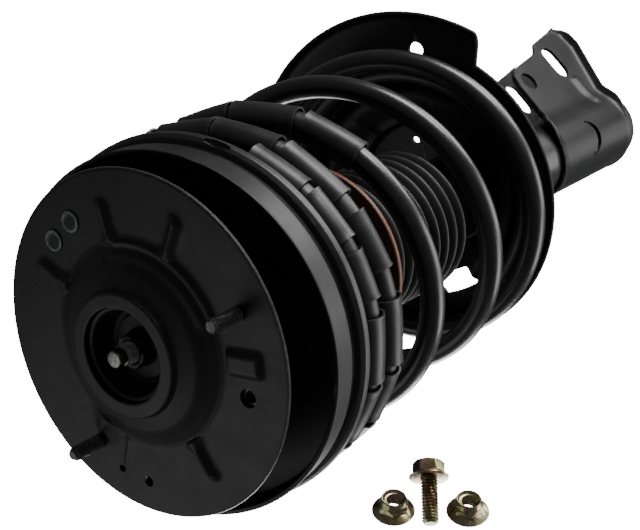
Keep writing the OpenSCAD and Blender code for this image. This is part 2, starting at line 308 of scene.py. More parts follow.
def scaled(tree, value, low, high):
    r = tree.nodes.new("ShaderNodeMapRange")
    r.inputs["To Min"].default_value = low
    r.inputs["To Max"].default_value = high
    tree.links.new(value, r.inputs["Value"])
    return r.outputs[0]


def bump(tree, value, strength, distance, before=None):
    b = tree.nodes.new("ShaderNodeBump")
    b.inputs["Strength"].default_value = strength
    b.inputs["Distance"].default_value = distance
    tree.links.new(value, b.inputs["Height"])
    if before:
        tree.links.new(before, b.inputs["Normal"])
    return b.outputs[0]


def mix(tree, factor, a, b):
    m = tree.nodes.new("ShaderNodeMix")
    m.data_type = "RGBA"
    tree.links.new(factor, m.inputs[0])
    for socket, value in ((m.inputs[6], a), (m.inputs[7], b)):
        if isinstance(value, tuple):
            socket.default_value = (*value, 1)
        else:
            tree.links.new(value, socket)
    return m.outputs[2]


def convex_edge_mask(tree, coords, low, high):
    """1 on convex edges, broken up by noise."""
    g = tree.nodes.new("ShaderNodeNewGeometry")
    r = tree.nodes.new("ShaderNodeMapRange")
    r.inputs["From Min"].default_value = low
    r.inputs["From Max"].default_value = high
    tree.links.new(g.outputs["Pointiness"], r.inputs["Value"])
    m = tree.nodes.new("ShaderNodeMath")
    m.operation = "MULTIPLY"
    tree.links.new(r.outputs[0], m.inputs[0])
    tree.links.new(scaled(tree, noise(tree, coords, 260, 3), -0.3, 1.5), m.inputs[1])
    m.use_clamp = True
    return m.outputs[0]


def paint(name, base, rough, coat=0.0, coat_rough=0.2, grain=0.12, dust=0.35, specular=0.5):
    """Black paint: slight cloudiness, orange peel, fine dust and thin lighter edges."""
    m, tree, shader, coords = new_material(name)
    cloud = noise(tree, coords, 22, 5)
    lighter = tuple(c * 1.9 + 0.004 for c in base)
    colour = ramp(tree, cloud, [(0.35, base), (0.72, lighter)])
    specks = ramp(tree, noise(tree, coords, 1500, 2, 0.7), [(0.66, (0, 0, 0)), (0.74, (dust,) * 3)])
    colour = mix(tree, specks, colour, (0.09, 0.09, 0.095))
    # lighter grey on convex edges
    colour = mix(tree, convex_edge_mask(tree, coords, 0.53, 0.62), colour, (0.11, 0.11, 0.115))
    tree.links.new(colour, shader.inputs["Base Color"])
    tree.links.new(scaled(tree, noise(tree, coords, 60, 4), rough - 0.07, rough + 0.09),
                   shader.inputs["Roughness"])
    peel = bump(tree, noise(tree, coords, 420, 3), grain, 0.0006)
    tree.links.new(bump(tree, noise(tree, coords, 1900, 2), grain * 0.8, 0.0002, peel),
                   shader.inputs["Normal"])
    shader.inputs["Specular IOR Level"].default_value = specular
    shader.inputs["Coat Weight"].default_value = coat
    shader.inputs["Coat Roughness"].default_value = coat_rough
    return m


def moulded(name, base, rough, grain=0.2, dust=0.25):
    """Rubber or plastic: matte skin with dusty patches."""
    m, tree, shader, coords = new_material(name)
    patches = noise(tree, coords, 35, 6, 0.6)
    dusty = tuple(c + 0.03 * dust / 0.25 for c in base)
    colour = ramp(tree, patches, [(0.4, base), (0.75, dusty)])
    # lighter than the base on convex edges
    colour = mix(tree, convex_edge_mask(tree, coords, 0.52, 0.6), colour, tuple(c * 1.5 + 0.035 for c in base))
    tree.links.new(colour, shader.inputs["Base Color"])
    tree.links.new(scaled(tree, noise(tree, coords, 90, 4), rough - 0.08, rough + 0.1),
                   shader.inputs["Roughness"])
    tree.links.new(bump(tree, noise(tree, coords, 800, 4), grain, 0.0004), shader.inputs["Normal"])
    return m


def metal(name, dark, light, rough, scale=300.0, grain=0.15, stretch=None):
    """Bare or plated steel with tool marks and uneven tone."""
    m, tree, shader, coords = new_material(name)
    tone = noise(tree, coords, scale, 5, 0.6, stretch)
    colour = ramp(tree, tone, [(0.3, dark), (0.7, light)])
    tree.links.new(colour, shader.inputs["Base Color"])
    shader.inputs["Metallic"].default_value = 1.0
    tree.links.new(scaled(tree, noise(tree, coords, scale * 0.6, 4), rough - 0.1, rough + 0.14),
                   shader.inputs["Roughness"])
    tree.links.new(bump(tree, tone, grain, 0.0003), shader.inputs["Normal"])
    return m


def zinc(name, red=0.0):
    """Yellow chromate zinc: olive and straw, with a faint green and rose film."""
    m, tree, shader, coords = new_material(name)
    film = noise(tree, coords, 75, 2, 0.5)
    straw = ramp(tree, film, [(0.30, (0.20, 0.17, 0.08)), (0.46, (0.34, 0.29, 0.15)),
                              (0.56, (0.36, 0.33, 0.20)), (0.66, (0.27, 0.29, 0.16))])
    rose = ramp(tree, noise(tree, coords, 60, 2),
                [(0.56 - red * 0.22, (0, 0, 0)), (0.74 - red * 0.1, (1, 1, 1))])
    colour = mix(tree, rose, straw, (0.42, 0.21, 0.19))
    grime = ramp(tree, noise(tree, coords, 420, 4), [(0.34, (0.5, 0.5, 0.5)), (0.5, (0, 0, 0))])
    colour = mix(tree, grime, colour, (0.09, 0.075, 0.035))
    tree.links.new(colour, shader.inputs["Base Color"])
    shader.inputs["Metallic"].default_value = 1.0
    tree.links.new(scaled(tree, noise(tree, coords, 260, 4), 0.18, 0.38), shader.inputs["Roughness"])
    tree.links.new(bump(tree, noise(tree, coords, 900, 3), 0.15, 0.0002), shader.inputs["Normal"])
    return m


BLACK = paint("black_satin_paint", (0.0032, 0.0032, 0.0036), 0.48, grain=0.16, specular=0.36)
SEAT = paint("black_seat_paint", (0.003, 0.003, 0.0032), 0.44, grain=0.1, specular=0.35)
# black paint with a base a little lighter than the other black paints: a painted sheen
BRACKET = paint("black_bracket_paint", (0.005, 0.005, 0.0054), 0.36, grain=0.14, specular=0.24)
TUBE = paint("black_tube_paint", (0.004, 0.004, 0.0043), 0.34, coat=0.25, grain=0.08, specular=0.4)
SPRING = paint("black_powder_coat", (0.0038, 0.0038, 0.0041), 0.34, coat=0.3, coat_rough=0.2,
               grain=0.1, specular=0.45)
SLEEVE = moulded("black_sleeve_plastic", (0.0045, 0.0045, 0.0048), 0.42, 0.12, 0.05)
BOOT = moulded("black_bellows_rubber", (0.0016, 0.0016, 0.0019), 0.58, 0.18, 0.01)
RUBBER = moulded("black_mount_rubber", (0.0022, 0.0022, 0.0024), 0.6, 0.25, 0.02)
TAN = moulded("tan_urethane", (0.09, 0.026, 0.006), 0.5, 0.3, 0.1)
FOAM = moulded("bump_stop_foam", (0.42, 0.31, 0.13), 0.8, 0.5)
NYLON = moulded("cage_nylon", (0.5, 0.44, 0.3), 0.45)
STEEL = metal("machined_steel", (0.26, 0.26, 0.25), (0.52, 0.51, 0.49), 0.32, 500, stretch=(1, 1, 9))
DARK_STEEL = metal("phosphated_steel", (0.04, 0.04, 0.04), (0.13, 0.13, 0.13), 0.42, 600)
BLACK_STEEL = metal("black_oxide_steel", (0.012, 0.012, 0.012), (0.04, 0.04, 0.04), 0.4, 500)
LIP = moulded("black_lip_rubber", (0.0035, 0.0035, 0.0038), 0.42, 0.15, 0.04)
ROD = metal("ground_rod_steel", (0.09, 0.09, 0.09), (0.26, 0.255, 0.25), 0.32, 500, stretch=(1, 1, 9))
BRIGHT = metal("bright_zinc_plate", (0.05, 0.052, 0.055), (0.2, 0.205, 0.215), 0.38, 700)
ZINC = zinc("yellow_zinc_plate")
ZINC_ROSE = zinc("yellow_zinc_plate_rose", 1.0)

CAD_MATERIAL = {
    "black_paint": BLACK, "tube_paint": TUBE, "spring_paint": SPRING, "sleeve_plastic": SLEEVE,
    "boot_rubber": BOOT, "mount_rubber": RUBBER, "steel": STEEL, "dark_steel": DARK_STEEL,
    "zinc_plate": ZINC, "bright_plate": BRIGHT, "tan_urethane": TAN, "foam_urethane": FOAM,
    "cage_nylon": NYLON,
}
slot_of = {s["node"]: s["material_slot"] for s in frame["record"]["subparts"]}
for node_name, node in frame["nodes"].items():
    node.data.materials.clear()
    node.data.materials.append(CAD_MATERIAL[slot_of[node_name]])
    node.data.shade_smooth()
    node.data.set_sharp_from_angle(angle=math.radians(30))

# ------------------------------------------------------- the spring's own frame

LEAN, LEAN_A, SEAT_SHIFT = 5.8, 125.0, -5.15
turn_in = rotation("Z", LEAN_A)
LEANED = (turn_in @ rotation("Y", -LEAN) @ turn_in.T, turn_in @ np.array([SEAT_SHIFT, 0, 0]))

# -------------------------------------------------------------------- top mount

DOME_H, OPENING_R, PLATE_SHEET = 15.5, 25.4, 2.4
# angle, inner end, outer end, height and half width of each stamped rib
RIBS = ((59, 53, 79, 3.6, 2.7), (21, 53, 80, 3.6, 2.9), (107, 52, 78, 3.3, 2.7), (-101, 52, 79, 3.6, 2.8),
        (-167.5, 52, 67, 2.2, 4.5), (-150, 54, 77, 0.8, 1.6))
CAPTIVE, STUD_R, STUDS = (69, -57), 71.4, (-21, -166.5)
RIVET_R, RIVETS = 73.5, (80, 94)
DOME = ((25.4, 15.3), (26.2, 15.5), (32.2, 15.4), (33.0, 14.9), (33.5, 13.2), (34.0, 12.0), (35.4, 11.4),
        (42.4, 8.5), (44.2, 7.3), (47.5, 4.6), (52.0, 1.5), (54.4, 0.4), (56.5, 0.0), (93.2, 0.0))


def plate_height(r, degrees):
    """Height of the stamped plate's top face at a radius and angle."""
    wide = smooth((degrees + 26) / 8) * smooth((64 - degrees) / 8)
    z = float(np.interp(r - 2.6 * wide * smooth((r - 45) / 6) * smooth((70 - r) / 8), *zip(*DOME)))
    z += wide * (1.5 * math.exp(-((r - 55.2) / 1.1) ** 2) - 0.9 * math.exp(-((r - 51.8) / 1.3) ** 2))
    for angle, start, reach, height, half in RIBS:
        off = (degrees - angle + 180) % 360 - 180
        if abs(off) < 30:
            across = r * math.sin(math.radians(off)) - 1.6 * smooth((r - reach + 7) / 6)
            lengthwise = smooth((reach - r) / 5) * smooth((r - start) / 3)
            foot = 1 + 0.9 * smooth((62 - r) / 8)
            z = max(z, height * lengthwise * math.exp(-(across / half / foot) ** 2))
    # embossed pad beside the captive nut
    turn = math.radians(-42)
    here = polar(r, degrees)
    dx, dy = here[0] - 67.5 * math.cos(turn), here[1] - 67.5 * math.sin(turn)
    u, v = dx * math.cos(turn) + dy * math.sin(turn), -dx * math.sin(turn) + dy * math.cos(turn)
    return max(z, 3.4 * smooth((12.5 - abs(u)) / 4.5) * smooth((8.4 - abs(v)) / 4.8))


def make_plate():
    radii = np.concatenate([np.linspace(OPENING_R + 0.5, 36, 18), np.linspace(36.6, 62, 44),
                            np.linspace(62.8, 80, 24), [84, 88, 91, 92.0]])
    n = 400
    grid = np.zeros((n, len(radii) + 4, 3))
    for i in range(n):
        degrees = 360 * i / n - 180
        column = [polar(OPENING_R, degrees, DOME_H - h) for h in (6.0, 3.0, 1.0)]
        column += [polar(OPENING_R + 0.1, degrees, DOME_H - 0.3)]
        column += [polar(r, degrees, plate_height(r, degrees)) for r in radii]
        grid[i] = column
    points, faces = thick(grid, PLATE_SHEET, wrap=True, flip=True)
    plate = piece("mount_plate_stamping", points, faces, BLACK, "top_mount", "black_paint",
                  ("mount_plate",))
    holes = [(CAPTIVE[0], CAPTIVE[1], 5.0), (76.5, -138, 3.0), (76.5, -152, 2.2)]
    cut(plate, [rod_between(polar(r, a, -12), polar(r, a, 12), size) for r, a, size in holes])


def threaded(radius, pitch, low, high, inner=False, chamfer=1.4):
    """Heights, and a function for the radius there, of a vee thread between two heights."""
    depth = pitch * 0.56
    count = int((high - low) / pitch * 8)
    heights = np.linspace(low, high, count)

    def radius_at(z, angle):
        phase = (z / pitch - angle / (2 * math.pi)) % 1
        wave = abs(phase - 0.5) * 2
        cutdepth = depth * (1 - min(1, max(0, wave * 1.25 - 0.1)))
        if inner:
            return radius - depth + cutdepth
        limit = radius - max(0, chamfer - (high - z)) * 0.8
        return min(radius - cutdepth, limit)
    return heights, radius_at


def stud_mesh(radius, pitch, low, high, foot, segments=64):
    """A solid threaded shank with a plain foot."""
    heights, at = threaded(radius, pitch, low, high)

    def outline(angle):
        rows = [(0, foot), (radius * 0.97, foot), (radius * 0.97, low)]
        rows += [(at(z, angle), z) for z in heights]
        return rows + [(radius * 0.72, high + 0.05), (0, high + 0.05)]
    return lathe(outline, segments)


def hex_radius(angle, flats, round_off=0.985):
    """Radius of a hexagon at an angle, with its corners turned down by round_off."""
    a = (angle % (math.pi / 3)) - math.pi / 6
    return min(flats / 2 / math.cos(a), flats / math.sqrt(3) * round_off)


def flange_head(flats, flange, low, tall, bore=None, pitch=1.5, top_dish=0.0):
    """Flanged hexagon: a nut when bore is the thread radius, otherwise a bolt's head."""
    top = low + tall
    cone = flats / 2 * 0.97
    heights, at = threaded(bore, pitch, low + 0.7, top - 0.7, inner=True) if bore else ([], None)

    def outline(angle):
        h = hex_radius(angle, flats)
        meet = low + 1.5 + (flange - 0.6 - h) * 0.62
        shoulder = top - (h - cone) * 0.55
        rows = []
        if bore:
            rows += [(at(z, angle), z) for z in reversed(heights)]
            rows += [(bore + 0.7, low)]
        else:
            rows += [(0, low)]
        rows += [(flange - 0.9, low), (flange - 0.25, low + 0.2), (flange, low + 0.65),
                 (flange - 0.05, low + 1.1), (flange - 0.5, low + 1.5),
                 (h + 0.25, meet - 0.1), (h, meet + 0.25),
                 (h, shoulder - 0.35), (h - 0.12, shoulder + 0.05),
                 (cone * 0.5 + h * 0.5, (shoulder + top) / 2 + 0.06), (cone, top - 0.02)]
        rows += [(bore + 0.75, top)] if bore else [(cone * 0.82, top - top_dish), (0, top - top_dish)]
        return rows
    return lathe(outline, 144)


def make_mount_parts():
    cup = rounded([(12, -12), (20, -12), (20, -8), (46, -8, 2), (46, -4, 2), (36, 3.4, 3), (25.2, 7, 1),
                   (25.2, 12.6, 0.8), (23, 11.6, 1.2), (21.5, 3.5, 4), (20, -0.4, 2), (18, -1.6, 1),
                   (17.2, -2.4), (12, -2.4)], 5)
    points, faces = lathe(cup, 144)
    piece("mount_rubber_cup", points, faces, RUBBER, "top_mount", "mount_rubber", ("mount_rubber",))
    for i, (a, high) in enumerate(zip(STUDS, (20.7, 19.9))):
        shank = stud_mesh(3.95, 1.25, 1.0, high, -2.5)
        collar = lathe(rounded([(3, -5), (7.4, -5, 0.6), (7.4, -2.7), (3, -2.7)]), 48)
        shapes = [shank, collar]
        if i:
            shapes.append(lathe(rounded([(0, 18.6), (2.9, 18.6), (2.7, 20.7, 0.7), (0, 20.75)]), 48))
        points, faces = join(shapes)
        piece(f"tower_stud_thread_{i + 1}", points + polar(STUD_R, a), faces, DARK_STEEL, "top_mount",
              "dark_steel", (f"tower_stud_{i + 1}",))
    rings = []
    for a in RIVETS:
        outline = rounded([(2.4, -4.2), (4.8, -4.2, 0.6), (4.8, -2.7, 0.4), (3.3, -2.7), (3.3, 0.1),
                           (5.9, 0.1, 0.4), (5.9, 0.9, 0.6), (4.2, 0.9, 0.5), (3.6, 0.2, 0.4),
                           (2.4, -0.6, 0.6)])
        p, f = lathe(outline, 64)
        rings.append((p + polar(RIVET_R, a), f))
        p, f = lathe([(0, -3.2), (2.45, -3.2), (2.45, -2.0), (0, -1.8)], 48)
        rings.append((p + polar(RIVET_R, a), f))
    points, faces = join(rings)
    piece("plate_rivet_rings", points, faces, BRIGHT, "top_mount", "bright_plate", ("plate_rivets",))
    # rod: thread, nut and hexagon end
    thread = stud_mesh(6.0, 1.5, -1.5, 15.2, -15.9, 72)

    def tip(angle):
        h = hex_radius(angle, 8.6)
        return [(0, 14), (h, 14), (h, 20.2 - (h - 4.2) * 0.4), (4.1, 20.8), (3.4, 20.95), (0, 20.95)]
    end = lathe(tip, 144)
    shaft = lathe(rounded([(0, -302), (6.4, -302), (6.4, -281), (10, -281), (10, -16.6, 0.5),
                           (0, -16.6)]), 96)
    points, faces = join([thread, end, shaft])
    piece("piston_rod_turned", points, faces, ROD, "top_mount", "steel", ("piston_rod",))
    nut = flange_head(17, 10.15, 0, 9, bore=6.0)
    piece("rod_nut_flanged", *nut, BLACK_STEEL, "top_mount", "dark_steel", ("rod_nut",))
    washer = lathe(rounded([(6.2, -2.45), (16.9, -2.45, 0.4), (16.9, -0.05, 0.5), (6.2, -0.05, 0.3)]), 96)
    piece("top_washer_disc", *washer, RUBBER, "top_mount", "dark_steel", ("top_washer",))


# ---------------------------------------------------- spring carrier (it steers)

def make_upper_seat():
    bowl = rounded([(20, -30), (20, -32.4), (47, -32.4, 2), (54, -35.9, 2), (96.4, -35.9, 2.4),
                    (98.8, -32.6, 2), (98.8, -19.4, 1.2), (99.7, -17.8, 0.7), (99.2, -17.1, 0.5),
                    (97.0, -17.5, 0.9), (96.4, -20, 1), (96.4, -33.2, 2), (56, -33.4, 2), (50, -30, 2)], 5)
    bowl_mesh = lathe(bowl, 200)
    seat = piece("upper_seat_bowl", *bowl_mesh, SEAT, "spring_carrier", "black_paint",
                 ("upper_spring_seat",), move=LEANED)
    hub = lathe(rounded([(27, -30.4), (45, -30.4), (45, -22.1, 2), (27, -22.1, 1)]), 120)
    cut(seat, [rod_between((0, 0, -60), (0, 0, 0), 27.0, 96)])
    piece("upper_seat_hub", *hub, SEAT, "spring_carrier", "black_paint")
    lip = rounded([(82, -36.05), (96.2, -36.05), (97.2, -37.6, 0.8), (100.2, -38.4, 1.2), (102.1, -40.6, 2),
                   (102.3, -44.2, 2), (100.6, -47, 2.4), (92, -46.4, 2), (82, -47, 1)], 6)
    rubber = piece("upper_isolator_lip", *lathe(lip, 200), LIP, "spring_carrier", "mount_rubber",
                   ("upper_isolator",), move=LEANED)
    turn, shift = LEANED
    steps = 9
    arc = np.array([polar(102, a, -40.2) for a in np.linspace(27, 36, steps)]) @ turn.T + shift

    def oval(i):
        """Section of the small oval hollow, widest in the middle of the arc."""
        return round_section(0.6 + 1.7 * math.sin(math.pi * (i + 0.5) / steps), 16) * [1.6, 1]
    cut(rubber, [sweep(arc, oval)])


COIL_R, WIRE_R, TURNS, COIL_START, END_R = 92.2, 6.8, 5.3, 24.8, 80.5
# Height of the wire's upper end, and the rise per turn at the top, in the open part and at the end
COIL_TOP, PITCH_TOP, PITCH_FREE, PITCH_END = -56.7, 19, 76, 13.7


def ease(t):
    """A slope that grows smoothly from 0 to 1 while t does; the value is the height it has gained."""
    return 0 if t <= 0 else t - 0.5 if t >= 1 else t ** 3 - t ** 4 / 2


def coil_z(n):
    """Height of the wire's centre after n turns: closed turns, free turns, closed end."""
    opened = (PITCH_FREE - PITCH_TOP) * 1.2 * ease((n - 1) / 1.2)
    closed = (PITCH_FREE - PITCH_END) * 0.5 * ease((n - 3.75) / 0.5)
    return COIL_TOP - (PITCH_TOP * n + opened - closed)


def coil_radius(n):
    """The closed lower turn is drawn in, so that it sits inside the pan's rim."""
    return COIL_R - (COIL_R - END_R) * (1 - math.cos(math.pi * min(1, max(0, (n - 4.3) / 0.4)))) / 2


def coil_path(turns):
    return np.array([[*polar(coil_radius(n), COIL_START - 360 * n)[:2], coil_z(n)] for n in turns])


def round_section(radius, sides=28):
    a = np.linspace(0, 2 * math.pi, sides, endpoint=False)
    return np.column_stack([radius * np.cos(a), radius * np.sin(a)])


def soften(obj):
    """Gives the piece a mesh of its own."""
    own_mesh(obj)


def make_spring():
    count = 1100
    turns = np.linspace(0, TURNS, count)
    ends = round_section(WIRE_R)

    def section(i):
        from_end = min(i, count - 1 - i)
        return ends * (0.93 + 0.07 * min(1, from_end / 2))
    wire = sweep(coil_path(turns), section)
    soften(piece("coil_spring_wire", *wire, SPRING, "spring_carrier", "spring_paint", ("coil_spring",),
                 sharp=50, move=LEANED))


def sleeve_section(outer, inner, slit):
    """Ring with a slit on the inside of the coil."""
    a = np.linspace(math.pi - slit, -math.pi + slit, 40)
    out = np.column_stack([outer * np.cos(a), outer * np.sin(a)])
    back = np.column_stack([inner * np.cos(a[::-1]), inner * np.sin(a[::-1])])
    return np.vstack([out, back])


def sleeve_spans():
    """Start and end turn of every split sleeve: short tubes pushed on one after another."""
    fixed = [(0.0, 0.055), (0.060, 0.110), (0.119, 0.163), (0.175, 0.237), (0.944, 1.007), (1.012, 1.078),
             (1.092, 1.147), (1.170, 1.232), (1.921, 1.985), (1.991, 2.05)]
    out = []
    for (a, b), following in zip(fixed, fixed[1:] + [(None, None)]):
        out.append((a, b))
        if following[0] and following[0] - b > 0.1:
            room = following[0] - b
            count = round(room / 0.064)
            for k in range(count):
                start = b + room * k / count + rng.uniform(0.003, 0.007)
                out.append((start, b + room * (k + 1) / count - rng.uniform(0.0, 0.002)))
    return out


def make_sleeves():
    parts = []
    for start, stop in sleeve_spans():
        steps = 22
        bow = coil_path(np.linspace(start, stop, steps))
        chord = bow[0] + (bow[-1] - bow[0]) * np.linspace(0, 1, steps)[:, None]
        middle = (bow[steps // 2] - chord[steps // 2]) * 0.6
        path = 0.4 * bow + 0.6 * (chord + middle)
        grow = rng.uniform(0.975, 1.0)

        def section(i):
            from_end = min(i, steps - 1 - i) / (steps - 1)
            flare = 1 + 0.035 * smooth((0.1 - from_end) / 0.1)
            return sleeve_section(9.2 * grow * flare, 8.1 * grow * flare, 0.16)
        parts.append(sweep(path, section))
    inner = sweep(coil_path(np.linspace(0.006, 2.045, 440)), lambda i: sleeve_section(7.3, 6.95, 0.12))
    parts.append(inner)
    soften(piece("spring_sleeve_set", *join(parts), SLEEVE, "spring_carrier", "sleeve_plastic",
                 ("spring_sleeves",), sharp=40, move=LEANED))


def make_boot():
    top, low, folds = -44.0, -245.0, 21
    pitch = (top - low) / folds
    heights = np.linspace(top, low, folds * 16 + 1)
    swell = 0.5 + 0.5 * np.cos(2 * math.pi * ((top - heights) / pitch - 0.5))
    outer = 38.8 + 5.9 * swell ** 0.65
    inner = 36.8 + 5.6 * swell ** 0.65
    outline = [(36.6, -37.5), (40, -37.5), (40, -43)] + list(zip(outer, heights))
    outline += [(36.6, low)] + list(zip(inner[::-1], heights[::-1]))
    soften(piece("dust_boot_bellows", *lathe(np.array(outline), 144), BOOT, "spring_carrier",
                 "boot_rubber", ("dust_boot",), sharp=60))
    ring = lathe(rounded([(45.2, -148.2, 0.8), (57.8, -148.2, 1.4), (57.8, -151.8, 1.4),
                          (45.2, -151.8, 0.8)]), 120)
    soften(piece("boot_ring_tan", *ring, TAN, "spring_carrier", "tan_urethane", ("boot_ring",)))


# ------------------------------------------------------------------ strut body

# Radius and height of the pan's flat flange, its sheet, and the radius of the guard's rolled edge
FLANGE_R, FLANGE_Z, PAN_SHEET, GUARD_R = 96, -288.6, 2.4, 118.2
GUARD_FROM, GUARD_TO = 18.4, 127.0
# The pan's top face: dish, ridge, groove for the wire, wall and flange
PAN = ((1.7, -312.6), (20, -309.8), (38, -306.4), (41, -305.4), (44, -301.5), (47, -300.6), (50, -299.6),
       (55, -295.0), (60, -292.3), (62, -291.4), (66, -291.2), (68, -292.0), (69.4, -293.4), (71.2, -296.8),
       (73.0, -297.2), (84.6, -297.2), (85.8, -296.2), (87.4, -290.4), (88.4, -288.9), (90, FLANGE_Z),
       (95.4, FLANGE_Z))


def guard_width(degrees):
    """How far the guard reaches out past the pan's rim, from 0 to 1."""
    a = (degrees + 180) % 360 - 180
    return float(smooth((a - GUARD_FROM + 2.4) / 4.8) * smooth((GUARD_TO + 4 - a) / 8))


def make_lower_seat():
    angles = np.concatenate([np.linspace(-180, GUARD_FROM - 3, 180, endpoint=False),
                             np.linspace(GUARD_FROM - 3, GUARD_FROM + 3, 24, endpoint=False),
                             np.linspace(GUARD_FROM + 3, GUARD_TO + 5, 100, endpoint=False),
                             np.linspace(GUARD_TO + 5, 180, 48, endpoint=False)])
    grid = []
    for degrees in angles:
        column = []
        for r, z in PAN:
            near = abs(((degrees + 15) % 30) - 15) * math.pi / 180 * r
            rib = 1.3 * math.exp(-(near / 3.5) ** 2) * smooth((r - 41) / 4) * smooth((62 - r) / 4)
            column.append(polar(r, degrees, z + rib))
        wide = guard_width(degrees)
        reach = (GUARD_R - 5.6 - FLANGE_R) * wide
        for k in (0.0, 0.35, 0.7, 1.0):
            column.append(polar(FLANGE_R + reach * k, degrees, FLANGE_Z))
        for out, up in ((0.9, 0.25), (2.2, 1.4), (3.3, 3.0), (3.9, 3.9)):
            column.append(polar(FLANGE_R + reach + out * (0.25 + 0.75 * wide), degrees,
                                FLANGE_Z + up * (0.35 + 0.65 * wide)))
        grid.append(column)
    mesh = thick(np.array(grid), PAN_SHEET, wrap=True, flip=True)
    pan = piece("lower_seat_pan", *mesh, SEAT, "strut_body", "black_paint", ("lower_spring_seat",),
                move=LEANED)
    turn, shift = LEANED
    cutters = [rod_between((0, 0, -400), (0, 0, -200), 25.55, 96)]
    for r, a, size in ((93.8, 41, 5.0), (30, 57, 2.4)):
        low, high = (turn @ polar(r, a, z) + shift for z in (-330, -270))
        cutters.append(rod_between(low, high, size))
    cut(pan, cutters)
    window = rounded([(58.5, -13, 3), (81, -13, 3), (81, 13, 3), (58.5, 13, 3)])
    spin = rotation("Z", -110.5)
    n = len(window)
    points = np.array([[x, y, z] for z in (-330, -270) for x, y in window]) @ spin.T @ turn.T + shift
    faces = [[i, (i + 1) % n, n + (i + 1) % n, n + i] for i in range(n)]
    cut(pan, [(points, faces + [list(range(n))[::-1], [n + i for i in range(n)]])])
    collar = lathe(rounded([(25.6, -345, 0.5), (28.4, -345, 1), (28.4, -296.2, 1.2),
                            (25.6, -296.2, 0.5)]), 120)
    piece("lower_seat_collar", *collar, SEAT, "strut_body", "black_paint")
    pad = lathe(rounded([(72.6, -297.1), (84.6, -297.1), (84.6, -294.8, 1), (83.5, -294.2, 0.6),
                         (74, -294.2, 1.2)]), 180)
    piece("lower_isolator_pad", *pad, RUBBER, "strut_body", "mount_rubber", ("lower_isolator",),
          move=LEANED)


def make_tube():
    tube = lathe(rounded([(23.3, -512, 0.4), (25.5, -512, 0.8), (25.5, -230, 0.6), (23.3, -230, 0.3)]), 120)
    piece("strut_tube_drawn", *tube, TUBE, "strut_body", "tube_paint", ("strut_tube",))
    cap = lathe(rounded([(11.5, -229.9), (24.6, -229.9), (25.4, -228.6, 0.8), (23.4, -226.1, 1.4),
                         (13, -226.1, 0.6), (11.5, -227, 0.4)]), 120)
    piece("tube_rolled_end", *cap, TUBE, "strut_body", "tube_paint", ("tube_cap",))
    floor_cap = lathe(rounded([(0, -512), (22, -512, 1.4), (23.2, -509.2, 0.5), (0, -509.2)]), 96)
    piece("tube_end_cap", *floor_cap, TUBE, "strut_body", "tube_paint", ("bottom_cap",))


BAND_R, EAR_OUT, BRACKET_SHEET = 28.3, 22.7, 2.6
EAR_UPPER = ((0, -401.5), (10, -404), (16, -409.5), (24, -411.3), (44, -411.5), (52, -414), (59, -423.5))
EAR_TIP = ((59, -423.5), (61.5, -436), (65.5, -462), (69, -467), (73, -471), (79, -504))
EAR_LOWER = ((0, -499), (20, -500), (44, -508.4), (60, -514), (73, -511.8), (79, -503))


def along(points, y):
    ys, zs = zip(*points)
    return float(np.interp(y, ys, zs))


def wall_path():
    """Plan of the bracket's outer face, from one ear's end round the band to the other."""
    out = [(EAR_OUT, y) for y in np.linspace(79, 24, 58)]
    out += [(EAR_OUT + (BAND_R - EAR_OUT) * smooth((24 - y) / 22), y) for y in np.linspace(23, 1, 14)]
    out += [(BAND_R * math.cos(a), BAND_R * math.sin(a)) for a in np.linspace(0, -math.pi, 90)]
    left = [(-x, y) for x, y in out[:72]][::-1]
    return np.array(out + left)


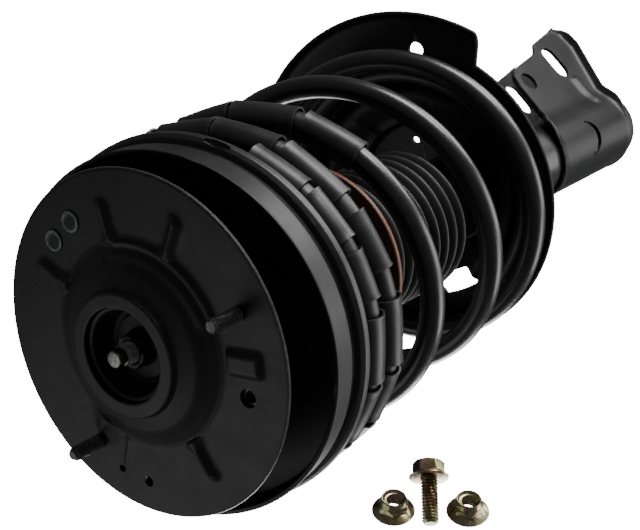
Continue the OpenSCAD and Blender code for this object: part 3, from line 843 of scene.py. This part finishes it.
def make_bracket():
    path = wall_path()
    tangent = np.gradient(path, axis=0)
    tangent /= np.linalg.norm(tangent, axis=1)[:, None]
    normal = np.column_stack([-tangent[:, 1], tangent[:, 0]])
    normal *= np.sign((normal * np.where(path[:, 1:] > 5, path * [1, 0], path)).sum(1))[:, None]
    grid = []
    for (x, y), n in zip(path, normal):
        top = along(EAR_UPPER, max(0, y)) if y < 59 else float(np.interp(y, [p[0] for p in EAR_TIP],
                                                                       [p[1] for p in EAR_TIP]))
        low = along(EAR_LOWER, max(0, y))
        if y <= 0:
            top, low = -401.5 + 1.0 * smooth(-y / 20), -499
        if top - low < 1.0:
            low = top - 1.0
        roll = 0.9 if y > 8 else max(0.25, (y + 10) / 20) if y > -8 else 0.12
        roll *= 1 - 0.75 * smooth((y - 68) / 10)
        # each long edge turns outward on a small radius
        lean_out = [(0.0, 0), (0.25, 0.55), (1.0, 1.7), (2.4, 2.9), (4.6, 3.7)]
        column = []
        top_roll = roll * (1 - smooth((y - 52) / 6))
        for o, d in reversed(lean_out):
            column.append([x + n[0] * o * top_roll, y + n[1] * o * top_roll, top - (4.0 - d)])
        z0, z1 = top - 4.0, low + 4.0
        span = z0 - z1
        for k in range(1, 50):
            z = z0 - span * k / 50
            bead = 1.7 * smooth((y - 9) / 5) * smooth((38 - y) / 3) * math.exp(-abs((z + 484.5) / 4.4) ** 3)
            column.append([x + n[0] * bead, y, z])
        for o, d in lean_out:
            column.append([x + n[0] * o * roll, y + n[1] * o * roll, low + (4.0 - d)])
        grid.append(column)
    grid = np.array(grid)
    points, faces = thick(grid, BRACKET_SHEET)
    bracket = piece("knuckle_bracket_pressing", points, faces, BRACKET, "strut_body", "black_paint",
                    ("knuckle_bracket",))
    cutters = [rod_between((-60, 47, -431), (60, 47, -431), 7.25),
               stadium_cutter(-60, 60, 53.5, -478, 27, 14.5)]
    crescent = [(2, -443.5), (-6, -449.6), (-14, -452), (-24, -452.6), (-34, -451.8), (-43, -448.9),
                (-50, -442)]
    for mirror in (0, 180):
        arc = [polar(27.6, mirror + (a if not mirror else -a), z) for a, z in crescent]
        width = [1.2, 2.1, 2.6, 2.8, 2.6, 2.1, 1.2]
        cutters.append(sweep(arc, lambda i, w=width: round_section(w[i], 16) * [1.25, 1]))
    cut(bracket, cutters)
    weld = []
    for z, r in ((-401.2, 1.6), (-499.5, 1.4)):
        a = np.linspace(math.radians(200), math.radians(340), 90)
        bead = np.column_stack([(25.6 + r * 0.6) * np.cos(a), (25.6 + r * 0.6) * np.sin(a), z + 0 * a])
        weld.append(sweep(bead, lambda i, r=r: round_section(r * (0.92 + 0.08 * math.sin(i * 1.3)), 12)))
    points, faces = join(weld)
    piece("bracket_weld_beads", points, faces, BRACKET, "strut_body", "black_paint", sharp=70)


# ------------------------------------------------------------------- loose kit

KIT_FLATS = 13
NUT_TURN = rotation("Z", 31.5) @ rotation("Y", 76.8)
NUTS_AT = ((73.4, -143.7, 4.9), (91.2, -164.7, -15.0))
BOLT_TURN, BOLT_AT = rotation("Z", 75.1) @ rotation("Y", 127.2), (90.3, -142.2, -8.9)


def collar_nut(flats, flange, tall, bore, pitch):
    """Flange nut whose hexagon runs into a round collar; the thread starts below a wide chamfer."""
    heights, at = threaded(bore, pitch, 0.7, tall - 1.3, inner=True)

    def outline(angle):
        h = hex_radius(angle, flats)
        corner = (h - flats / 2) / (flats / math.sqrt(3) - flats / 2)
        meet = 2.1 + (1 - corner) * 0.9
        shoulder = 5.6 - corner * 1.2
        rows = [(at(z, angle), z) for z in reversed(heights)] + [(bore + 0.7, 0)]
        rows += [(flange - 0.8, 0), (flange - 0.2, 0.25), (flange, 0.6), (flange - 0.1, 0.95),
                 (flange - 0.6, 1.2), (h + 0.5, meet - 0.15), (h + 0.05, meet), (h, meet + 0.3),
                 (h, shoulder - 0.3), (h - 0.15, shoulder), (6.25, 6.0), (6.1, 6.4),
                 (6.0, tall - 0.9), (5.75, tall - 0.25),
                 (5.4, tall), (5.15, tall - 0.1), (bore + 0.1, tall - 1.2)]
        return rows
    return lathe(outline, 144)


def make_kit():
    nuts = []
    for i, place in enumerate(NUTS_AT):
        p, f = collar_nut(KIT_FLATS, 9.9, 8.6, 4.1, 1.4)
        p = p @ rotation("Z", 36 + 8 * i).T
        nuts.append((p @ NUT_TURN.T + np.array(place, float), f))
    piece("kit_nuts_flanged", *join(nuts), ZINC, "loose_kit", "zinc_plate", ("kit_flange_nuts",))
    head = flange_head(KIT_FLATS, 9.2, 0, 8.0, top_dish=0.5)
    head = (head[0] @ rotation("Z", 12).T, head[1])
    shank = stud_mesh(4.0, 1.5, 0.6, 21.4, 0.0, 64)
    shank = (shank[0] * [1, 1, -1], [f[::-1] for f in shank[1]])
    place = (BOLT_TURN, np.array(BOLT_AT, float))
    piece("kit_bolt_shank", *shank, ZINC, "loose_kit", "zinc_plate", move=place)
    piece("kit_bolt_head", *head, ZINC_ROSE, "loose_kit", "zinc_plate", ("kit_flange_bolt",), move=place)


make_plate()
make_mount_parts()
make_upper_seat()
make_spring()
make_sleeves()
make_boot()
make_lower_seat()
make_tube()
make_bracket()
make_kit()

# ------------------------------------------------------------ floor, light, camera

# The camera was fitted to the photo; RIGHT, UP and BACK are its own directions
LENS, SENSOR = 88.61, 36.0
CAMERA_AT = Vector((0.5710, -0.1679, 0.5364))
RIGHT = Vector((0.5336, -0.6058, -0.5901))
UP = Vector((0.5658, 0.7743, -0.2833))
BACK = Vector((0.6286, -0.1828, 0.7560))
# How far the floor lies below the strut in mm, its emission, and the world's strength
FLOOR_DROP, FLOOR_GLOW, WORLD_LIGHT = 250, 16.0, 0.13


def make_floor():
    """Pale studio floor that curves up into a wall and a roof all round."""
    low = cad_low.z / MM - FLOOR_DROP
    outline = [(0, low), (3500, low), (4200, low + 120), (4700, low + 500), (4950, low + 1100),
               (5000, low + 2000), (5000, low + 5000), (0, low + 6500)]
    angles = np.linspace(0, 2 * math.pi, 96, endpoint=False)
    points = np.array([[r * math.cos(a), r * math.sin(a), z] for a in angles for r, z in outline])
    floor = piece("floor", points, grid_faces(len(angles), len(outline), True), FLOOR, None, None, sharp=80)
    # only the camera sees the backdrop: it lights nothing, isn't reflected and casts no shadow,
    # so it can be far brighter than the strut, which the lamps and the world light
    floor.visible_glossy = False
    floor.visible_diffuse = False
    floor.visible_shadow = False


def floor_material():
    """Near white that glows, so that the backdrop needs no lamps of its own."""
    m, tree, shader, coords = new_material("pale_floor")
    tone = scaled(tree, noise(tree, coords, 3), 0.9, 1.0)
    tree.links.new(mix(tree, tone, (0.9, 0.9, 0.9), (0.96, 0.96, 0.96)), shader.inputs["Base Color"])
    shader.inputs["Roughness"].default_value = 0.9
    shader.inputs["Emission Color"].default_value = (1, 1, 1, 1)
    shader.inputs["Emission Strength"].default_value = FLOOR_GLOW
    return m


def lamp(name, location, way, size, power):
    """Rectangular area light whose back points along way, so that it shines the other way."""
    data = bpy.data.lights.new(name, "AREA")
    data.shape = "RECTANGLE"
    data.size, data.size_y = size
    data.energy = power
    light = bpy.data.objects.new(name, data)
    light.location = location
    light.rotation_mode = "QUATERNION"
    light.rotation_quaternion = way.to_track_quat("Z", "Y")
    bpy.context.scene.collection.objects.link(light)


def softbox(name, direction, distance, size, power):
    """Lamp in the camera's terms: direction is (right, up, back), aimed at the strut's middle."""
    centre = Vector((0.01, 0, -0.2))
    way = (RIGHT * direction[0] + UP * direction[1] + BACK * direction[2]).normalized()
    lamp(name, centre + way * distance, way, size, power)


def wash(name, at, aim, size, power):
    """Lamp at a place in metres, aimed at a point."""
    lamp(name, Vector(at), Vector(at) - Vector(aim), size, power)


def make_camera():
    data = bpy.data.cameras.new("camera")
    data.lens = LENS
    data.sensor_width = SENSOR
    data.clip_start, data.clip_end = 0.01, 20
    camera = bpy.data.objects.new("camera", data)
    matrix = Matrix((RIGHT, UP, BACK)).transposed().to_4x4()
    matrix.translation = CAMERA_AT
    camera.matrix_world = matrix
    bpy.context.scene.collection.objects.link(camera)
    bpy.context.scene.camera = camera


def make_world():
    world = bpy.data.worlds.new("studio")
    world.use_nodes = True
    background = world.node_tree.nodes["Background"]
    background.inputs[0].default_value = (1, 1, 1, 1)
    background.inputs[1].default_value = WORLD_LIGHT
    bpy.context.scene.world = world


FLOOR = floor_material()
make_floor()
softbox("key", (0.4, 0.85, 0.3), 1.6, (1.0, 0.6), 34)
softbox("fill", (0.93, 0.08, -0.1), 1.7, (0.8, 1.3), 14)
softbox("low_fill", (0.85, -0.45, -0.1), 1.5, (0.8, 0.8), 10)
softbox("side", (-0.78, -0.68, 0.3), 0.8, (0.55, 0.55), 1.05)
softbox("bounce", (0.1, -0.8, -0.8), 1.2, (1.0, 0.5), 16)
wash("under", (0.5, 0.12, -0.72), (0.02, 0.04, -0.45), (0.4, 0.4), 4.2)
make_world()
make_camera()
